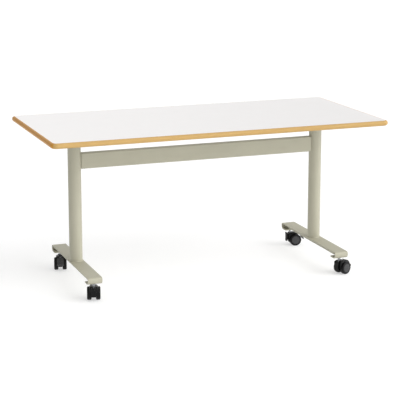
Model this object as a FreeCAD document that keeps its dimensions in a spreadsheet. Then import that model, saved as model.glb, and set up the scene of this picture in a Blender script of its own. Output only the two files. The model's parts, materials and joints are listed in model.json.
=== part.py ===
import FreeCAD, Part
import math
import os
import re

import Sketcher
from FreeCAD import Placement, Rotation, Vector

# Mobile folding table: a tilting top on two T legs with a cross bar and four braked twin-wheel castors.
# Lengths are in millimetres and angles in degrees. X runs along the table, -Y is the front, Z is up.
SIZES = {
    # Table top
    "table_length": 1600,
    "table_depth": 750,
    "table_height": 737,
    "top_thickness": 24,
    "laminate_thickness": 0.8,
    "lip_width": 15,
    "plan_corner_radius": 28,
    # Columns
    "leg_overhang": 200,
    "column_radius": 30,
    "column_wall": 2,
    # Feet: a steel strip that curls under at both ends, on a stiffening bar
    "foot_length": 616,
    "foot_width": 66,
    "foot_plate": 6,
    "foot_end_height": 31,
    "foot_return_length": 50,
    "foot_upper_bend": 9,
    "foot_lower_bend": 18,
    "stiffener_width": 30,
    "stiffener_height": 16,
    "stiffener_end_gap": 42,
    "stiffener_bevel": 6,
    # Cross bar and the stubs that carry it
    "bar_height": 72,
    "bar_thickness": 35,
    "bar_wall": 2,
    "bar_corner": 4,
    "bar_below_underside": 99,
    "stub_reach": 60,
    "stub_wall": 3,
    "stub_clearance": 0.2,
    "bar_screw_radius": 3,
    "bar_screw_head_radius": 5.5,
    "bar_screw_head_height": 3,
    "bar_screw_length": 14,
    "bar_screw_first": 16,
    "bar_screw_pitch": 28,
    # Tilting head on each column
    "pivot_forward": 14,
    "pivot_drop": 40,
    "cap_thickness": 5,
    "cap_below_pivot": 18,
    "quadrant_thickness": 8,
    "quadrant_rim": 5.5,
    "quadrant_foot_width": 44,
    "quadrant_flare_angle": 25,
    "pin_radius": 6,
    "pin_head_radius": 9,
    "pin_head_height": 3,
    "clip_thickness": 1.2,
    "bush_wall": 1.5,
    "bush_flange_radius": 11,
    "bush_flange_thickness": 1.5,
    "stud_orbit": 24,
    "stud_rest_angle": 45,
    "flip_angle": 90,
    "stud_radius": 4,
    "stud_head_radius": 7.5,
    "stud_head_height": 5,
    # Brackets under the top
    "bracket_width": 100,
    "bracket_length": 380,
    "bracket_plate": 4,
    "bracket_lip": 14,
    "bracket_bevel": 9,
    "ear_thickness": 5,
    "ear_radius": 13,
    "ear_front": 24,
    "ear_rear": 44,
    "screw_radius": 2.5,
    "screw_head_radius": 5,
    "screw_head_height": 2.6,
    "screw_bite": 15,
    "screw_side": 30,
    "screw_near": 78,
    "screw_end_inset": 22,
    # Clamp levers
    "lever_hub_radius": 10,
    "lever_hub_length": 18,
    "lever_collar_radius": 7,
    "lever_collar_length": 5,
    "lever_arm_length": 60,
    "lever_arm_rise": 6,
    "lever_root_radius": 6,
    "lever_tip_radius": 4.5,
    "lever_knob_radius": 6.5,
    # Castors: heights are above the floor, trails are behind the swivel axis
    "castor_height": 82,
    "castor_inset": 27,
    "castor_trail": 25,
    "wheel_radius": 30,
    "wheel_width": 20.5,
    "wheel_spacing": 19,
    "wheel_edge": 6,
    "wheel_rim": 8,
    "wheel_groove": 1.2,
    "wheel_dish": 1.5,
    "wheel_web": 5,
    "wheel_hub_radius": 7,
    "wheel_hub_end": 2,
    "axle_radius": 3,
    "axle_length": 50,
    "web_clearance": 0.6,
    "web_inset": 1.5,
    "fender_gap": 2,
    "fender_thickness": 2.5,
    "fender_half_width": 15,
    "fender_top_angle": 74,
    "fender_front_angle": 172,
    "housing_floor_gap": 19,
    "shoulder_drop": 16,
    "shoulder_half_width": 21,
    "shoulder_front": 8,
    "shoulder_rear": 26,
    "shoulder_round": 7,
    "groove_half_width": 7,
    "groove_below_wheel_top": 5,
    "shield_front": 21,
    "shield_thickness": 6,
    "shield_half_width": 11.5,
    "shield_below_axle": 7,
    "shield_round": 2.5,
    "shield_notch_half_width": 4,
    "shield_notch_depth": 8,
    "stem_radius": 5,
    "stem_socket_depth": 24,
    "stem_shoulder_radius": 8.5,
    "stem_shoulder_height": 5,
    "nut_across_flats": 17,
    "nut_height": 8,
    "stem_past_nut": 1.5,
    "pedal_gap": 6,
    "pedal_thickness": 3,
    "pedal_half_width": 16,
    "pedal_low_angle": 8,
    "pedal_high_angle": 58,
    "pedal_toe": 6,
    "pedal_lip": 7,
    "pedal_pivot_trail": 10,
    "pedal_pivot_below_shoulder": 4.5,
    "pedal_tongue_half_width": 5.5,
    "pedal_boss_radius": 3.4,
    "trunnion_radius": 2,
    "trunnion_length": 4,
    # Swivel angles at rest: the way each pair of wheels trails
    "trail_angle_front_left": 74,
    "trail_angle_rear_left": -105,
    "trail_angle_front_right": 23,
    "trail_angle_rear_right": -9,
    # Fits and cuts
    "running_clearance": 0.05,
    "free_clearance": 0.3,
    "hole_clearance": 0.2,
    "cut_overrun": 5,
}

doc = FreeCAD.newDocument("mobile_folding_table")
sheet = doc.addObject("Spreadsheet::Sheet", "Dims")
for row, (alias, value) in enumerate(SIZES.items(), start=1):
    sheet.set(f"A{row}", alias)
    sheet.set(f"B{row}", str(value))
    sheet.setAlias(f"B{row}", alias)
doc.recompute()

# Heights and places that several pieces share, as expressions on the sheet
UNDERSIDE = "(table_height - top_thickness)"
FOOT_TOP = "(castor_height + foot_end_height)"
PIVOT_Y = "(-pivot_forward)"
PIVOT_Z = f"({UNDERSIDE} - pivot_drop)"
CAP_TOP = f"({PIVOT_Z} - cap_below_pivot)"
COLUMN_TOP = f"({CAP_TOP} - cap_thickness)"
COLUMN_X = "(table_length / 2 - leg_overhang)"
LEFT = f"(-{COLUMN_X})"
BAR_TOP = f"({UNDERSIDE} - bar_below_underside)"
BAR_BOTTOM = f"({BAR_TOP} - bar_height)"
BAR_END = f"({COLUMN_X} - column_radius)"
EAR_INSIDE = "(quadrant_thickness / 2 + bush_flange_thickness + free_clearance)"
EAR_OUTSIDE = f"({EAR_INSIDE} + ear_thickness)"
STUD_Y = f"({PIVOT_Y} + stud_orbit * cos(stud_rest_angle * 1 deg))"
STUD_Z = f"({PIVOT_Z} + stud_orbit * sin(stud_rest_angle * 1 deg))"
FENDER_INSIDE = "(wheel_radius + fender_gap)"
FENDER_OUTSIDE = f"({FENDER_INSIDE} + fender_thickness)"
WEB_HALF = "(wheel_spacing / 2 - web_clearance)"
SHOULDER_TOP = "(castor_height - shoulder_drop)"
PEDAL_INSIDE = "(wheel_radius + pedal_gap)"
PEDAL_OUTSIDE = f"({PEDAL_INSIDE} + pedal_thickness)"
PEDAL_PIVOT_Z = f"({SHOULDER_TOP} - pedal_pivot_below_shoulder)"

AXIS_TURNS = {
    "x": Rotation(Vector(0, 1, 0), 90),
    "y": Rotation(Vector(1, 0, 0), -90),
    "z": Rotation(),
}
CASTOR_ENDS = {
    "front_left": (-1, -1),
    "rear_left": (-1, 1),
    "front_right": (1, -1),
    "rear_right": (1, 1),
}


def size(alias):
    """A driving dimension as a number, read from the sheet."""
    return float(sheet.get(alias))


def dims(words):
    """The expression with each alias pointed at its cell."""
    return re.sub(r"[a-z][a-z_]+", lambda m: f"Dims.{m[0]}" if m[0] in SIZES else m[0], words)


def bind(thing, **sizes):
    """Bind properties of a document object to expressions on the sheet."""
    for name, words in sizes.items():
        thing.setExpression(name, dims(words))


def place(thing, at, turn=None):
    """Turn an object and bind its position to three expressions."""
    thing.Placement = Placement(Vector(), turn or Rotation())
    for axis, words in zip("xyz", at):
        thing.setExpression(f"Placement.Base.{axis}", dims(words))
    return thing


def cylinder(name, radius, height, at, axis="z", turn=None, sweep=None):
    """A cylinder that starts at a point and runs along an axis, or a sector of one."""
    thing = doc.addObject("Part::Cylinder", name)
    bind(thing, Radius=radius, Height=height)
    if sweep:
        bind(thing, Angle=sweep)
    return place(thing, at, turn or AXIS_TURNS[axis])


def block(name, low, high):
    """A box between two corners, each given as three expressions."""
    thing = doc.addObject("Part::Box", name)
    spans = [f"({b}) - ({a})" for a, b in zip(low, high)]
    bind(thing, Length=spans[0], Width=spans[1], Height=spans[2])
    return place(thing, low)


def fuse(name, *shapes):
    thing = doc.addObject("Part::MultiFuse", name)
    thing.Shapes = list(shapes)
    thing.Refine = True
    return thing


def cut(name, base, tool):
    thing = doc.addObject("Part::Cut", name)
    thing.Base = base
    thing.Tool = tool
    thing.Refine = True
    return thing


def group(label, *shapes):
    """Separate solids that share one node."""
    thing = doc.addObject("Part::Compound", label)
    thing.Links = list(shapes)
    return keep(label, thing)


def mirrored(label, source):
    """The right-hand twin of a left-hand piece."""
    thing = doc.addObject("Part::Mirroring", label)
    thing.Source = source
    thing.Normal = Vector(1, 0, 0)
    return keep(label, thing)


def copied(label, source, placement):
    """A repeat of a finished piece at another place."""
    thing = doc.addObject("Part::Feature", label)
    thing.Shape = source.Shape.copy()
    thing.Placement = placement
    return thing


PIECES = []


def keep(label, thing):
    """Name a finished sub-part for export."""
    thing.Label = label
    PIECES.append(thing)
    return thing


def new_body(label, at=None):
    body = doc.addObject("PartDesign::Body", label)
    if at:
        place(body, at)
    return body


def sketch_on(body, role, lift="0"):
    """An empty sketch on one of the body's own origin planes, lifted along its normal."""
    sketch = body.newObject("Sketcher::SketchObject", f"{body.Name}_sketch")
    plane = next(f for f in body.Origin.OriginFeatures if f.Role == role)
    sketch.AttachmentSupport = (plane, "")
    sketch.MapMode = "FlatFace"
    sketch.setExpression("AttachmentOffset.Base.z", dims(lift))
    return sketch


def bound_point(sketch, geometry, position, u, v):
    """Tie a point of a sketch to two expressions."""
    for kind, words in (("DistanceX", u), ("DistanceY", v)):
        index = sketch.addConstraint(Sketcher.Constraint(kind, -1, 1, geometry, position, 1.0))
        sketch.setExpression(f"Constraints[{index}]", dims(words))


def outline(sketch, corners):
    """A closed outline of straight edges through corners given as pairs of expressions."""
    count = len(corners)
    first = sketch.GeometryCount
    ring = [Vector(math.cos(2 * math.pi * i / count), math.sin(2 * math.pi * i / count)) for i in range(count)]
    for i in range(count):
        sketch.addGeometry(Part.LineSegment(ring[i], ring[(i + 1) % count]))
    for i in range(count):
        sketch.addConstraint(Sketcher.Constraint("Coincident", first + i, 2, first + (i + 1) % count, 1))
    for i, (u, v) in enumerate(corners):
        bound_point(sketch, first + i, 1, u, v)


def circles(sketch, centres, radius):
    """Equal circles at centres given as pairs of expressions."""
    for u, v in centres:
        index = sketch.addGeometry(Part.Circle(Vector(1, 1), Vector(0, 0, 1), 1))
        bound_point(sketch, index, 3, u, v)
        rule = sketch.addConstraint(Sketcher.Constraint("Radius", index, 1.0))
        sketch.setExpression(f"Constraints[{rule}]", dims(radius))


def rectangle(u, v, half_u, half_v):
    """The corners of a rectangle about a centre."""
    signs = ((-1, -1), (1, -1), (1, 1), (-1, 1))
    return [(f"{u} + ({a}) * ({half_u})", f"{v} + ({b}) * ({half_v})") for a, b in signs]


def pad(body, sketch, length, both_ways=False):
    feature = body.newObject("PartDesign::Pad", f"{body.Name}_pad")
    feature.Profile = sketch
    feature.Midplane = both_ways
    bind(feature, Length=length)
    return feature


def pocket(body, sketch, length, both_ways=False, reverse=False):
    """A cut against the sketch's normal, or along it when reversed."""
    doc.recompute()
    before = body.Shape.Volume
    feature = body.newObject("PartDesign::Pocket", f"{body.Name}_pocket")
    feature.Profile = sketch
    feature.Midplane = both_ways
    feature.Reversed = reverse
    bind(feature, Length=length)
    doc.recompute()
    if body.Shape.Volume >= before:
        raise RuntimeError(f"a pocket in {body.Label} removes nothing")
    return feature


def revolve(body, sketch, axis="V_Axis"):
    feature = body.newObject("PartDesign::Revolution", f"{body.Name}_turn")
    feature.Profile = sketch
    feature.ReferenceAxis = (sketch, [axis])
    return feature


def edges_where(body, test):
    """Names of the body's edges whose middle and direction pass a test."""
    doc.recompute()
    names = []
    for number, edge in enumerate(body.Tip.Shape.Edges, start=1):
        middle = edge.valueAt((edge.FirstParameter + edge.LastParameter) / 2)
        along = edge.tangentAt((edge.FirstParameter + edge.LastParameter) / 2)
        if test(middle, along):
            names.append(f"Edge{number}")
    return names


def round_edges(body, radius, test, kind="PartDesign::Fillet"):
    """Fillet or chamfer the edges that pass a test."""
    names = edges_where(body, test)
    if not names:
        raise RuntimeError(f"no edge to round on {body.Label}")
    base = body.Tip
    feature = body.newObject(kind, f"{body.Name}_edge")
    feature.Base = (base, names)
    bind(feature, **{"Radius" if kind.endswith("Fillet") else "Size": radius})
    body.Tip = feature
    doc.recompute()
    return feature


def along_axis(vector, axis):
    """True when an edge runs along an axis."""
    return abs(abs(vector.dot(axis)) - 1) < 1e-6


X, Y, Z = Vector(1, 0, 0), Vector(0, 1, 0), Vector(0, 0, 1)


def screw_places():
    """Centres of the bracket screws, as expressions, measured from the column's axis."""
    far = "(bracket_length / 2 - screw_end_inset)"
    rows = (f"-{far}", "-screw_near", "screw_near", far)
    return [(f"({side}) * screw_side", f"{row_y}") for row_y in rows for side in (-1, 1)]


def both_sides(centres):
    """The same centres under the left and the right bracket."""
    return [(f"({end}) * {COLUMN_X} + {u}", v) for end in (-1, 1) for u, v in centres]


def slab(label, inset, corner_inset, low, thickness):
    """A flat sheet with the top's rounded outline, drawn in from its edge."""
    body = new_body(label)
    sketch = sketch_on(body, "XY_Plane", low)
    outline(sketch, rectangle("0", "0", f"table_length / 2 - {inset}", f"table_depth / 2 - {inset}"))
    pad(body, sketch, thickness)
    round_edges(body, f"plan_corner_radius - {corner_inset}", lambda middle, along: along_axis(along, Z))
    return body


def make_top_sheets():
    """The core board between its laminates, with the screw holes in what the screws reach."""
    centres = both_sides(screw_places())
    core = slab("top_core", "lip_width", "lip_width", f"{UNDERSIDE} + laminate_thickness",
                "top_thickness - 2 * laminate_thickness")
    holes = sketch_on(core, "XY_Plane", f"{UNDERSIDE} + laminate_thickness")
    circles(holes, centres, "screw_radius")
    pocket(core, holes, "screw_bite - laminate_thickness", reverse=True)
    keep("top_core", core)

    half = "top_thickness / 2"
    keep("top_laminate", slab("top_laminate", half, half, "table_height - laminate_thickness",
                              "laminate_thickness"))
    backing = slab("backing_sheet", half, half, UNDERSIDE, "laminate_thickness")
    holes = sketch_on(backing, "XY_Plane", UNDERSIDE)
    circles(holes, centres, "screw_radius")
    pocket(backing, holes, "laminate_thickness + cut_overrun", both_ways=True)
    keep("backing_sheet", backing)


def make_edge_lips():
    """Four half-round strips of solid wood, mitred at the rounded corners."""
    radius = size("top_thickness") / 2
    skin = size("laminate_thickness")
    width = size("lip_width")
    corner = size("plan_corner_radius") - radius
    middle = size("table_height") - radius
    half_x = size("table_length") / 2 - radius
    half_y = size("table_depth") / 2 - radius

    def strip(half_run, half_reach):
        """One strip along X at the front, swept from mitre to mitre."""
        straight = half_run - corner
        bend_y = corner - half_reach
        diagonal = corner * math.sqrt(0.5)
        nook = corner * math.sin(math.pi / 8)
        shallow = corner * math.cos(math.pi / 8)
        start = Vector(-straight - diagonal, bend_y - diagonal, middle)
        end = Vector(straight + diagonal, bend_y - diagonal, middle)
        left_end = Vector(-straight, -half_reach, middle)
        right_end = Vector(straight, -half_reach, middle)
        path = Part.Wire([
            Part.Arc(start, Vector(-straight - nook, bend_y - shallow, middle), left_end).toShape(),
            Part.LineSegment(left_end, right_end).toShape(),
            Part.Arc(right_end, Vector(straight + nook, bend_y - shallow, middle), end).toShape(),
        ])
        outward = Vector(-math.sqrt(0.5), -math.sqrt(0.5), 0)

        def at(inward, up):
            return start - outward * inward + Z * up

        rebate = radius - skin
        tongue = width - radius
        corners = [at(0, radius), at(0, rebate), at(tongue, rebate), at(tongue, -rebate), at(0, -rebate),
                   at(0, -radius)]
        edges = [Part.LineSegment(a, b).toShape() for a, b in zip(corners, corners[1:])]
        edges.append(Part.Arc(corners[-1], at(-radius, 0), corners[0]).toShape())
        return path.makePipeShell([Part.Wire(edges)], True, False)

    long_strip = strip(half_x, half_y)
    short_strip = strip(half_y, half_x)
    for label, shape, angle in (
        ("edge_lip_front", long_strip, 0),
        ("edge_lip_right", short_strip, 90),
        ("edge_lip_rear", long_strip, 180),
        ("edge_lip_left", short_strip, 270),
    ):
        lip = doc.addObject("Part::Feature", label)
        lip.Shape = shape.copy()
        lip.Placement = Placement(Vector(), Rotation(Z, angle))
        keep(label, lip)


def make_columns():
    """Round tubes that stand on the feet."""
    height = f"{COLUMN_TOP} - {FOOT_TOP}"
    outer = cylinder("column_outside", "column_radius", height, (LEFT, "0", FOOT_TOP))
    inner = cylinder("column_inside", "column_radius - column_wall", height, (LEFT, "0", FOOT_TOP))
    left = keep("column_left", cut("column_left", outer, inner))
    mirrored("column_right", left)


def make_feet():
    """A strip bent down and back under itself at both ends, with a stem hole in each return."""
    foot = new_body("foot_left", (LEFT, "0", "0"))
    half = "foot_length / 2"
    low, high = "castor_height", FOOT_TOP
    inner = f"{half} - foot_plate"
    tail = f"{half} - foot_return_length"
    flange, under = f"{low} + foot_plate", f"{high} - foot_plate"
    right_side = [(tail, low), (half, low), (half, high)]
    left_side = [(f"-({u})", v) for u, v in reversed(right_side)]
    inner_left = [(f"-({tail})", flange), (f"-({inner})", flange), (f"-({inner})", under)]
    inner_right = [(inner, under), (inner, flange), (tail, flange)]
    sketch = sketch_on(foot, "YZ_Plane")
    outline(sketch, right_side + left_side + inner_left + inner_right)
    pad(foot, sketch, "foot_width", both_ways=True)

    top, base, end, plate = size("castor_height") + size("foot_end_height"), size("castor_height"), \
        size("foot_length") / 2, size("foot_plate")
    near = plate / 2

    def corner(y, z):
        return lambda middle, along: (along_axis(along, X) and abs(abs(middle.y) - y) < near
                                      and abs(middle.z - z) < near)

    round_edges(foot, "foot_upper_bend", corner(end, top))
    round_edges(foot, "foot_lower_bend", corner(end, base))
    round_edges(foot, "foot_upper_bend - foot_plate", corner(end - plate, top - plate))
    round_edges(foot, "foot_lower_bend - foot_plate", corner(end - plate, base + plate))

    holes = sketch_on(foot, "XY_Plane", flange)
    stem_y = f"({half} - castor_inset)"
    circles(holes, [("0", f"-{stem_y}"), ("0", stem_y)], "stem_radius + hole_clearance")
    pocket(foot, holes, "foot_plate + cut_overrun")
    keep("foot_left", foot)
    mirrored("foot_right", foot)

    bar = new_body("foot_stiffener_left", (LEFT, "0", "0"))
    sketch = sketch_on(bar, "YZ_Plane")
    reach = f"{half} - stiffener_end_gap"
    outline(sketch, rectangle("0", f"{under} - stiffener_height / 2", reach, "stiffener_height / 2"))
    pad(bar, sketch, "stiffener_width", both_ways=True)
    lower = top - plate - size("stiffener_height")
    round_edges(bar, "stiffener_bevel",
                lambda middle, along: along_axis(along, X) and middle.z < lower + near,
                "PartDesign::Chamfer")
    keep("foot_stiffener_left", bar)
    mirrored("foot_stiffener_right", bar)


def make_cross_bar():
    """A square-cut rectangular tube, slipped over a stub on each column and screwed from below."""
    bar = new_body("cross_bar")
    sketch = sketch_on(bar, "YZ_Plane")
    middle_z = f"({BAR_TOP} - bar_height / 2)"
    outline(sketch, rectangle("0", middle_z, "bar_thickness / 2", "bar_height / 2"))
    pad(bar, sketch, f"2 * {BAR_END}", both_ways=True)
    round_edges(bar, "bar_corner", lambda middle, along: along_axis(along, X))
    hollow = sketch_on(bar, "YZ_Plane")
    outline(hollow, rectangle("0", middle_z, "bar_thickness / 2 - bar_wall", "bar_height / 2 - bar_wall"))
    pocket(bar, hollow, f"2 * ({BAR_END} + cut_overrun)", both_ways=True)
    places = [f"({end}) * ({BAR_END} - bar_screw_first - {step} * bar_screw_pitch)"
              for end in (-1, 1) for step in (0, 1)]
    holes = sketch_on(bar, "XY_Plane", BAR_BOTTOM)
    circles(holes, [(x, "0") for x in places], "bar_screw_radius + hole_clearance")
    pocket(bar, holes, "2 * bar_wall + cut_overrun", both_ways=True)
    keep("cross_bar", bar)

    slack = "bar_wall + stub_clearance"
    low_z = f"{BAR_BOTTOM} + bar_wall"
    high_z = f"{BAR_TOP} - ({slack})"
    outer = block("stub_outside", (LEFT, f"{slack} - bar_thickness / 2", low_z),
                  (f"stub_reach - {BAR_END}", f"bar_thickness / 2 - ({slack})", high_z))
    inner = block("stub_inside", (LEFT, f"{slack} + stub_wall - bar_thickness / 2", f"{low_z} + stub_wall"),
                  (f"stub_reach + cut_overrun - {BAR_END}", f"bar_thickness / 2 - ({slack} + stub_wall)",
                   f"{high_z} - stub_wall"))
    tube = cylinder("stub_cope", "column_radius", "bar_height + 2 * cut_overrun",
                    (LEFT, "0", f"{BAR_BOTTOM} - cut_overrun"))
    drills = [cylinder("stub_drill", "bar_screw_radius + hole_clearance", "2 * stub_wall",
                       (x, "0", f"{low_z} - stub_wall / 2")) for x in places[:2]]
    stub = cut("bar_stub_left", outer, fuse("stub_tools", inner, tube, *drills))
    keep("bar_stub_left", stub)
    mirrored("bar_stub_right", stub)

    screws = []
    for x in places:
        head = cylinder("bar_screw_head", "bar_screw_head_radius", "bar_screw_head_height",
                        (x, "0", f"{BAR_BOTTOM} - bar_screw_head_height"))
        shank = cylinder("bar_screw_shank", "bar_screw_radius", "bar_screw_length", (x, "0", BAR_BOTTOM))
        screws.append(fuse("bar_screw", head, shank))
    group("bar_screws", *screws)


def make_tilt_heads():
    """A cap on the column with an upright quadrant, whose slot guides and stops the clamp stud."""
    cap = cylinder("head_cap", "column_radius", "cap_thickness", (LEFT, "0", COLUMN_TOP))
    left_face = f"{LEFT} - quadrant_thickness / 2"
    rim = "(stud_orbit + stud_radius + free_clearance + quadrant_rim)"
    flare = f"{rim} * cos(quadrant_flare_angle * 1 deg)"
    disc = cylinder("quadrant_disc", rim, "quadrant_thickness", (left_face, PIVOT_Y, PIVOT_Z), "x")
    above = block("quadrant_above", (left_face, f"{PIVOT_Y} - {rim}", f"{PIVOT_Z} - ear_radius"),
                  (f"{LEFT} + quadrant_thickness / 2", f"{PIVOT_Y} + {rim}", f"{PIVOT_Z} + {rim}"))
    fan = doc.addObject("Part::Common", "quadrant_fan")
    fan.Base = disc
    fan.Tool = above
    post = new_body("quadrant_post", (LEFT, "0", "0"))
    sketch = sketch_on(post, "YZ_Plane")
    outline(sketch, [("-quadrant_foot_width / 2", CAP_TOP), ("quadrant_foot_width / 2", CAP_TOP),
                     (f"{PIVOT_Y} + {flare}", PIVOT_Z), (f"{PIVOT_Y} - {flare}", PIVOT_Z)])
    pad(post, sketch, "quadrant_thickness", both_ways=True)

    face = f"{left_face} - cut_overrun"
    depth = "quadrant_thickness + 2 * cut_overrun"
    slot_half = "stud_radius + free_clearance"
    at_pivot = (face, PIVOT_Y, PIVOT_Z)
    # The sector starts at the stud's rest angle and sweeps through the flip
    sector = Rotation(X, size("stud_rest_angle")) * Rotation(Y, Z, X, "ZXY")
    arc_outer = cylinder("slot_outside", f"stud_orbit + {slot_half}", depth, at_pivot, turn=sector,
                         sweep="flip_angle")
    arc_inner = cylinder("slot_inside", f"stud_orbit - ({slot_half})", depth, at_pivot, "x")
    arc = cut("slot_arc", arc_outer, arc_inner)
    ends = []
    for angle in ("stud_rest_angle", "(stud_rest_angle + flip_angle)"):
        centre = (face, f"{PIVOT_Y} + stud_orbit * cos({angle} * 1 deg)",
                  f"{PIVOT_Z} + stud_orbit * sin({angle} * 1 deg)")
        ends.append(cylinder("slot_end", slot_half, depth, centre, "x"))
    bush_hole = cylinder("bush_hole", "pin_radius + running_clearance + bush_wall", depth, at_pivot, "x")
    head = cut("tilt_head_left", fuse("head_solid", cap, post, fan), fuse("head_cuts", arc, bush_hole, *ends))
    keep("tilt_head_left", head)
    mirrored("tilt_head_right", head)

    bore = cylinder("bush_bore", "pin_radius + running_clearance",
                    f"2 * {EAR_INSIDE}", (f"{LEFT} - {EAR_INSIDE}", PIVOT_Y, PIVOT_Z), "x")
    halves = []
    for name, sleeve_x, flange_x in (
        ("outer_bush", left_face, f"{left_face} - bush_flange_thickness"),
        ("inner_bush", LEFT, f"{LEFT} + quadrant_thickness / 2"),
    ):
        sleeve = cylinder(f"{name}_sleeve", "pin_radius + running_clearance + bush_wall",
                          "quadrant_thickness / 2", (sleeve_x, PIVOT_Y, PIVOT_Z), "x")
        flange = cylinder(f"{name}_flange", "bush_flange_radius", "bush_flange_thickness",
                          (flange_x, PIVOT_Y, PIVOT_Z), "x")
        halves.append(cut(name, fuse(f"{name}_solid", sleeve, flange), bore))
    mirrored("pivot_bushes_right", group("pivot_bushes_left", *halves))


def make_brackets():
    """Folded steel channels screwed under the top, each with two ears that straddle the quadrant."""
    bracket = new_body("top_bracket_left", (LEFT, "0", "0"))
    half = "bracket_width / 2"
    shelf = f"{UNDERSIDE} - bracket_plate"
    hem = f"{UNDERSIDE} - bracket_lip"
    wall = f"{half} - bracket_plate"
    section = sketch_on(bracket, "XZ_Plane")
    outline(section, [(f"-({half})", hem), (f"-({wall})", hem), (f"-({wall})", shelf), (wall, shelf),
                      (wall, hem), (half, hem), (half, UNDERSIDE), (f"-({half})", UNDERSIDE)])
    pad(bracket, section, "bracket_length", both_ways=True)
    end, low = size("bracket_length") / 2, size("table_height") - size("top_thickness") - size("bracket_lip")
    near = size("bracket_plate") / 2
    round_edges(bracket, "bracket_bevel",
                lambda middle, along: (along_axis(along, X) and abs(abs(middle.y) - end) < near
                                       and abs(middle.z - low) < near),
                "PartDesign::Chamfer")
    for side in (EAR_INSIDE, f"(-{EAR_OUTSIDE})"):
        ear = sketch_on(bracket, "YZ_Plane", side)
        outline(ear, [(f"{PIVOT_Y} - ear_radius", PIVOT_Z), (f"{PIVOT_Y} + ear_radius", PIVOT_Z),
                      (f"{PIVOT_Y} + ear_rear", f"{shelf}"), (f"{PIVOT_Y} - ear_front", f"{shelf}")])
        pad(bracket, ear, "ear_thickness")
        boss = sketch_on(bracket, "YZ_Plane", side)
        circles(boss, [(PIVOT_Y, PIVOT_Z)], "ear_radius")
        pad(bracket, boss, "ear_thickness")
    for centre, radius in (((PIVOT_Y, PIVOT_Z), "pin_radius"), ((STUD_Y, STUD_Z), "stud_radius")):
        hole = sketch_on(bracket, "YZ_Plane")
        circles(hole, [centre], radius)
        pocket(bracket, hole, f"2 * ({EAR_OUTSIDE} + cut_overrun)", both_ways=True)
    holes = sketch_on(bracket, "XY_Plane", UNDERSIDE)
    circles(holes, screw_places(), "screw_radius")
    pocket(bracket, holes, "2 * (bracket_plate + cut_overrun)", both_ways=True)
    keep("top_bracket_left", bracket)
    mirrored("top_bracket_right", bracket)

    screws = []
    for x, y in both_sides(screw_places()):
        head = cylinder("wood_screw_head", "screw_head_radius", "screw_head_height",
                        (x, y, f"{shelf} - screw_head_height"))
        shank = cylinder("wood_screw_shank", "screw_radius", "bracket_plate + screw_bite", (x, y, shelf))
        screws.append(fuse("wood_screw", head, shank))
    group("bracket_screws", *screws)


def make_hinge_hardware():
    """Pivot pins with their clips, and the clamp studs that run in the slots."""
    outside = f"{LEFT} - {EAR_OUTSIDE}"
    clip_end = f"{EAR_OUTSIDE} + clip_thickness + free_clearance"
    pin_length = f"{EAR_OUTSIDE} + {clip_end} + pin_head_height"
    shaft = cylinder("pin_shaft", "pin_radius", pin_length, (outside, PIVOT_Y, PIVOT_Z), "x")
    head = cylinder("pin_head", "pin_head_radius", "pin_head_height",
                    (f"{outside} - pin_head_height", PIVOT_Y, PIVOT_Z), "x")
    pin = keep("pivot_pin_left", fuse("pivot_pin_left", shaft, head))
    mirrored("pivot_pin_right", pin)

    clip_at = (f"{LEFT} + {EAR_OUTSIDE}", PIVOT_Y, PIVOT_Z)
    disc = cylinder("clip_disc", "pin_head_radius", "clip_thickness", clip_at, "x")
    eye = cylinder("clip_eye", "pin_radius", "clip_thickness", clip_at, "x")
    mouth = block("clip_mouth", (clip_at[0], f"{PIVOT_Y} - pin_radius / 2", f"{PIVOT_Z} - pin_head_radius"),
                  (f"{clip_at[0]} + clip_thickness", f"{PIVOT_Y} + pin_radius / 2", PIVOT_Z))
    clip = cut("pivot_clip", disc, fuse("clip_cuts", eye, mouth))
    twin = doc.addObject("Part::Mirroring", "pivot_clip_twin")
    twin.Source = clip
    twin.Normal = X
    group("pivot_clips", clip, twin)

    stud_length = f"2 * {EAR_OUTSIDE} + lever_collar_length + lever_hub_length / 2"
    shaft = cylinder("stud_shaft", "stud_radius", stud_length, (outside, STUD_Y, STUD_Z), "x")
    head = cylinder("stud_head", "stud_head_radius", "stud_head_height",
                    (f"{outside} - stud_head_height", STUD_Y, STUD_Z), "x")
    stud = keep("clamp_stud_left", fuse("clamp_stud_left", shaft, head))
    mirrored("clamp_stud_right", stud)


def make_clamp_levers():
    """A hub on the stud with a tapered arm that leans away from the ear and ends in a knob."""
    start = f"({LEFT} + {EAR_OUTSIDE} + free_clearance)"
    collar = cylinder("lever_collar", "lever_collar_radius", "lever_collar_length", (start, STUD_Y, STUD_Z), "x")
    hub_x = f"({start} + lever_collar_length)"
    hub = cylinder("lever_hub", "lever_hub_radius", "lever_hub_length", (hub_x, STUD_Y, STUD_Z), "x")
    arm_x = f"({hub_x} + lever_hub_length / 2)"
    arm = doc.addObject("Part::Cone", "lever_arm")
    bind(arm, Radius1="lever_root_radius", Radius2="lever_tip_radius",
         Height="sqrt(lever_arm_length * lever_arm_length + lever_arm_rise * lever_arm_rise)")
    lean = math.degrees(math.atan2(size("lever_arm_rise"), size("lever_arm_length")))
    place(arm, (arm_x, STUD_Y, STUD_Z), Rotation(Z, -lean) * AXIS_TURNS["y"])
    knob = doc.addObject("Part::Sphere", "lever_knob")
    bind(knob, Radius="lever_knob_radius")
    place(knob, (f"{arm_x} + lever_arm_rise", f"{STUD_Y} + lever_arm_length", STUD_Z))
    bore = cylinder("lever_bore", "stud_radius + running_clearance",
                    "lever_collar_length + lever_hub_length / 2 + free_clearance", (start, STUD_Y, STUD_Z), "x")
    lever = cut("clamp_lever_left", fuse("lever_solid", collar, hub, arm, knob), bore)
    keep("clamp_lever_left", lever)
    mirrored("clamp_lever_right", lever)


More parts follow.
